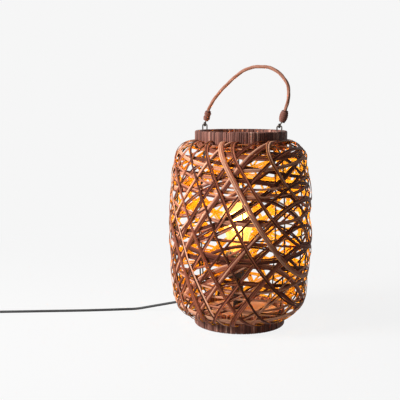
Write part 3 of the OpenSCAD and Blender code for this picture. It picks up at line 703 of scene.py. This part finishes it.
rattan, paint = surface("twisted rattan core")
ply, along, side = (stored(paint, name) for name in ("ply", "along", "side"))
fibre = noise_over(along * 30, side * 34, ply * 50, 4)
patches = noise_over(along * 60, ply * 9, 0, 3)
tan = paint.blend(patches, (0.21, 0.075, 0.042, 1), (0.46, 0.21, 0.135, 1))
finish(paint, {
    "Base Color": paint.blend(fibre * fibre * 1.5, tan, (0.085, 0.026, 0.015, 1)),
    "Roughness": 0.5 + 0.2 * fibre, "Specular IOR Level": 0.2,
    "Normal": bump(fibre, 0.3, 0.0005)})

rope_tree, size = tree_named(
    "twisted rope", plies=3, pitch=0.085, ply_r=0.0023, offset=0.0009, lobes=7.0)
path = size.add("GeometryNodeResampleCurve", {0: size["Path"], "Count": 300})
path = keep(path, "along", size.add("GeometryNodeSplineParameter")["Length"])
normal = size.add("GeometryNodeInputNormal")
binormal = size.vector("CROSS_PRODUCT", size.add("GeometryNodeInputTangent"), normal)
path = keep(path, "up", normal, "FLOAT_VECTOR")
path = keep(path, "out", binormal, "FLOAT_VECTOR")
plies = size.add("GeometryNodeDuplicateElements", {0: path, "Amount": size["plies"]},
                 domain="SPLINE")
ply = plies["Duplicate Index"]
along = recall(size, "along")
turn = (along / size["pitch"] + ply / size["plies"]) * (2 * math.pi)
up = scaled(recall(size, "up", "FLOAT_VECTOR"), size["offset"] * size.math("COSINE", turn))
out = scaled(recall(size, "out", "FLOAT_VECTOR"), size["offset"] * size.math("SINE", turn))
laid = size.add("GeometryNodeSetPosition", {0: plies, "Offset": size.vector("ADD", up, out)})
laid = keep(laid, "ply", ply, domain="CURVE")
# Each ply turns on itself as it goes round the others, one radian in 13.5 mm
laid = size.add("GeometryNodeSetCurveTilt", {0: laid, "Tilt": along * 74})

# A ply is a bundle of fibres, so its section has shallow lobes
section = size.add("GeometryNodeCurvePrimitiveCircle", {"Resolution": 20, "Radius": 1.0})
corner = size.add("ShaderNodeSeparateXYZ", {0: size.add("GeometryNodeInputPosition")})
round_it = size.math("ARCTAN2", corner[1], corner[0])
lobe = size.math("ABSOLUTE", size.math("SINE", round_it * size["lobes"] / 2))
lobed_r = size["ply_r"] * (1 - 0.07 * (1 - lobe))
spot = size.add("ShaderNodeCombineXYZ", {
    0: lobed_r * size.math("COSINE", round_it), 1: lobed_r * size.math("SINE", round_it)})
section = size.add("GeometryNodeSetPosition", {0: section, "Position": spot})
section = keep(section, "side", size.add("GeometryNodeSplineParameter")["Factor"])
rope = size.add("GeometryNodeCurveToMesh", {0: laid, 1: section, "Fill Caps": True})
finish_tree(size.add("GeometryNodeSetShadeSmooth", {0: rope}), rattan)

rope = grown("handle_twist", rope_tree, poly_curve("rope path", rope_line))
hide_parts("handle_rope")
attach(rope, "handle")


# ---- Bindings of the rope's ends ----
# Each end of the rope is folded back round the shank of its eye and bound with wet peel,
# drawn tight over the fold in a few turns. The right end is thicker than the left.

binding_tree, size = tree_named(
    "binding", turns=5.0, turn_r=0.0042, swell=0.0014, swells=2.0, length=0.0165,
    strip_width=0.0035, strip_thick=0.0018)
share = size.add("GeometryNodeSplineParameter")["Factor"]
bulge = size.math("ABSOLUTE", size.math("SINE", share * size["swells"] * math.pi))
round_r = size["turn_r"] + size["swell"] * bulge
around = size.add("GeometryNodeCurveSpiral", {
    "Resolution": 26, "Rotations": size["turns"], "Start Radius": 1.0, "End Radius": 1.0,
    "Height": size["length"]})
turn_length = 0.03
around = keep(around, "along", share * size["turns"] * turn_length)
drawn = size.add("ShaderNodeCombineXYZ", {0: round_r, 1: round_r, 2: 1.0})
drawn = size.vector("MULTIPLY", size.add("GeometryNodeInputPosition"), drawn)
around = size.add("GeometryNodeSetPosition", {0: around, "Position": drawn})
around = size.add("GeometryNodeSetCurveNormal", {0: around}, mode="Z_UP")
section = flat_section(size, size["strip_width"], size["strip_thick"])
bound = size.add("GeometryNodeCurveToMesh", {0: around, 1: section, "Fill Caps": True})
bound = keep(bound, "strip", 0.6)

# The folded end of the rope fills the turns, and comes a little out of them above and below.
# It carries no strip tone, so it takes the peel's darkest colour, as painted shade between the
# turns.
past_turns, under_turns = 0.0008, 0.0002
fold_painted_shade = size.add("GeometryNodeCurvePrimitiveLine", {
    "Start": (0, 0, -past_turns),
    "End": size.add("ShaderNodeCombineXYZ", {2: size["length"] + past_turns})})
fold_painted_shade = size.add("GeometryNodeResampleCurve", {0: fold_painted_shade, "Count": 41})
bundle = size.add("GeometryNodeCurvePrimitiveCircle", {"Resolution": 24, "Radius": 1.0})
fold_painted_shade = size.add("GeometryNodeCurveToMesh", {
    0: fold_painted_shade, 1: bundle, "Scale": round_r - under_turns, "Fill Caps": True})
joined = size.add("GeometryNodeJoinGeometry", {0: bound})
size.tree.links.new(fold_painted_shade.socket, joined.socket.node.inputs[0])
finish_tree(size.add("GeometryNodeSetShadeSmooth", {0: joined}), wound_peel)

for name, foot, sizes in (
    ("left", rope_start, {}),
    ("right", rope_end, {
        "turns": 6.0, "turn_r": 0.0048, "swell": 0.002, "swells": 1.0, "length": 0.019}),
):
    binding = grown(f"{name}_binding_peel", binding_tree, bpy.data.meshes.new("none"), **sizes)
    binding.data.transform(
        handle_place @ Matrix.Translation(foot) @ Matrix.Rotation(end_lean, 4, "Y"))
    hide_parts(f"handle_binding_{name}")
    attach(binding, "handle")


# ---- Cord from the lampholder to the switch ----
# A round black mains cord, 5 mm thick. It drops out of the grip in the lampholder's cap,
# leaves over the lower ring, runs down to the table and along it to the switch.

jacket, paint = surface("black cord jacket")
place = object_place(paint)
dust = noise(place, 260, 4)
finish(paint, {
    "Base Color": paint.blend(dust, (0.006, 0.006, 0.007, 1), (0.02, 0.019, 0.019, 1)),
    "Roughness": 0.38 + 0.25 * dust, "Normal": bump(noise(place, 1600, 1), 0.15, 0.0003)})
dress(jacket, "switch_boots", "plug_boot")


cord_r = 0.0025


def cord_along(name, points, steps):
    """A round cord through points, as one open spline with a round bevel, and its length."""
    line = smooth_line(points, steps)
    data = poly_curve(name, line)
    data.bevel_depth = cord_r
    data.bevel_resolution = 3
    data.use_fill_caps = True
    data.materials.append(jacket)
    made = bpy.data.objects.new(name, data)
    scene.collection.objects.link(made)
    return made, sum((b - a).length for a, b in zip(line, line[1:]))


first_cord, first_length = cord_along("cord_to_switch", [
    # down from the grip, round the lampholder's stem to the back
    (-0.032, 0, 0.087), (-0.0350, 0, 0.081), (-0.037, 0, 0.075), (-0.038, 0.002, 0.06),
    (-0.041, 0.012, 0.046), (-0.0426, 0.0389, 0.038), (-0.0559, 0.051, 0.037),
    # over the lower ring, out through the weave and down to the table
    (-0.064, 0.0585, 0.036), (-0.076, 0.063, 0.032), (-0.1, 0.065, 0.0245),
    (-0.134, 0.067, 0.017), (-0.17, 0.068, 0.0099), (-0.196, 0.069, 0.0046),
    # along the table and up into the switch
    (-0.21, 0.069, 0.0027), (-0.226, 0.0665, 0.0025), (-0.3, 0.053, 0.0025),
    (-0.38, 0.043, 0.0025), (-0.47, 0.032, 0.0025), (-0.486, 0.0305, 0.0038),
    (-0.5, 0.03, 0.006), (-0.512, 0.03, 0.006), (-0.524, 0.03, 0.006),
], 2)
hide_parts("lamp_cord")
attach(first_cord, "lamp")


# ---- Switch in the cord ----
# A rocker switch in a black two-part housing, held by two screws from below. Tapered boots
# keep the cord from kinking at both ends.

housing = moulded("switch housing", (0.008, 0.008, 0.008, 1), (0.02, 0.02, 0.021, 1), 0.42)
dress(housing, "switch_base", "switch_cover", "plug_body", "cord_tie")
dress(moulded("rocker", (0.012, 0.012, 0.013, 1), (0.025, 0.025, 0.027, 1), 0.22),
      "switch_rocker")
dress(zinc, "switch_screws")


# ---- Spare cord and plug ----
# The rest of the black cord lies in a coil of six turns in two layers, held by a tie. It
# ends in a moulded plug with a tapered boot and two round, nickel plated pins.

spare_points = [
    (-0.598, 0.03, 0.006), (-0.603, 0.03, 0.006), (-0.618, 0.028, 0.005),
    (-0.634, 0.0215, 0.0042), (-0.643, 0.0105, 0.0036), (-0.6455, -0.001, 0.0034),
    (-0.6455, -0.014, 0.0034),
]
# Three turns inward in the lower layer, a climb in a quarter turn, and three turns outward
coil_x, coil_y, outer_r, beside = -0.61, -0.027, 0.0355, 0.00505
layer_turns, points_in_turn = 3, 16
lower_z, layer_rise = 0.0034, 0.005
climb_start, climb_turns = 2.875, 0.25
for i in range(2 * layer_turns * points_in_turn + 1):
    turns = i / points_in_turn
    inward = turns if turns < layer_turns else 2 * layer_turns - turns
    coil_r = outer_r - beside * inward
    climb = min(max((turns - climb_start) / climb_turns, 0), 1)
    azimuth = math.pi + 2 * math.pi * turns
    spare_points.append((
        coil_x + coil_r * math.cos(azimuth), coil_y + coil_r * math.sin(azimuth),
        lower_z + layer_rise * climb * climb * (3 - 2 * climb)))
spare_points += [
    (-0.6455, -0.041, 0.0084), (-0.6455, -0.050, 0.0076), (-0.6455, -0.058, 0.007),
    (-0.6455, -0.069, 0.007), (-0.6455, -0.079, 0.007),
]
spare_cord, spare_length = cord_along("spare_cord", spare_points, 3)
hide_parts("coil_lead", "cord_coil", "plug_lead")
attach(spare_cord, "lamp")
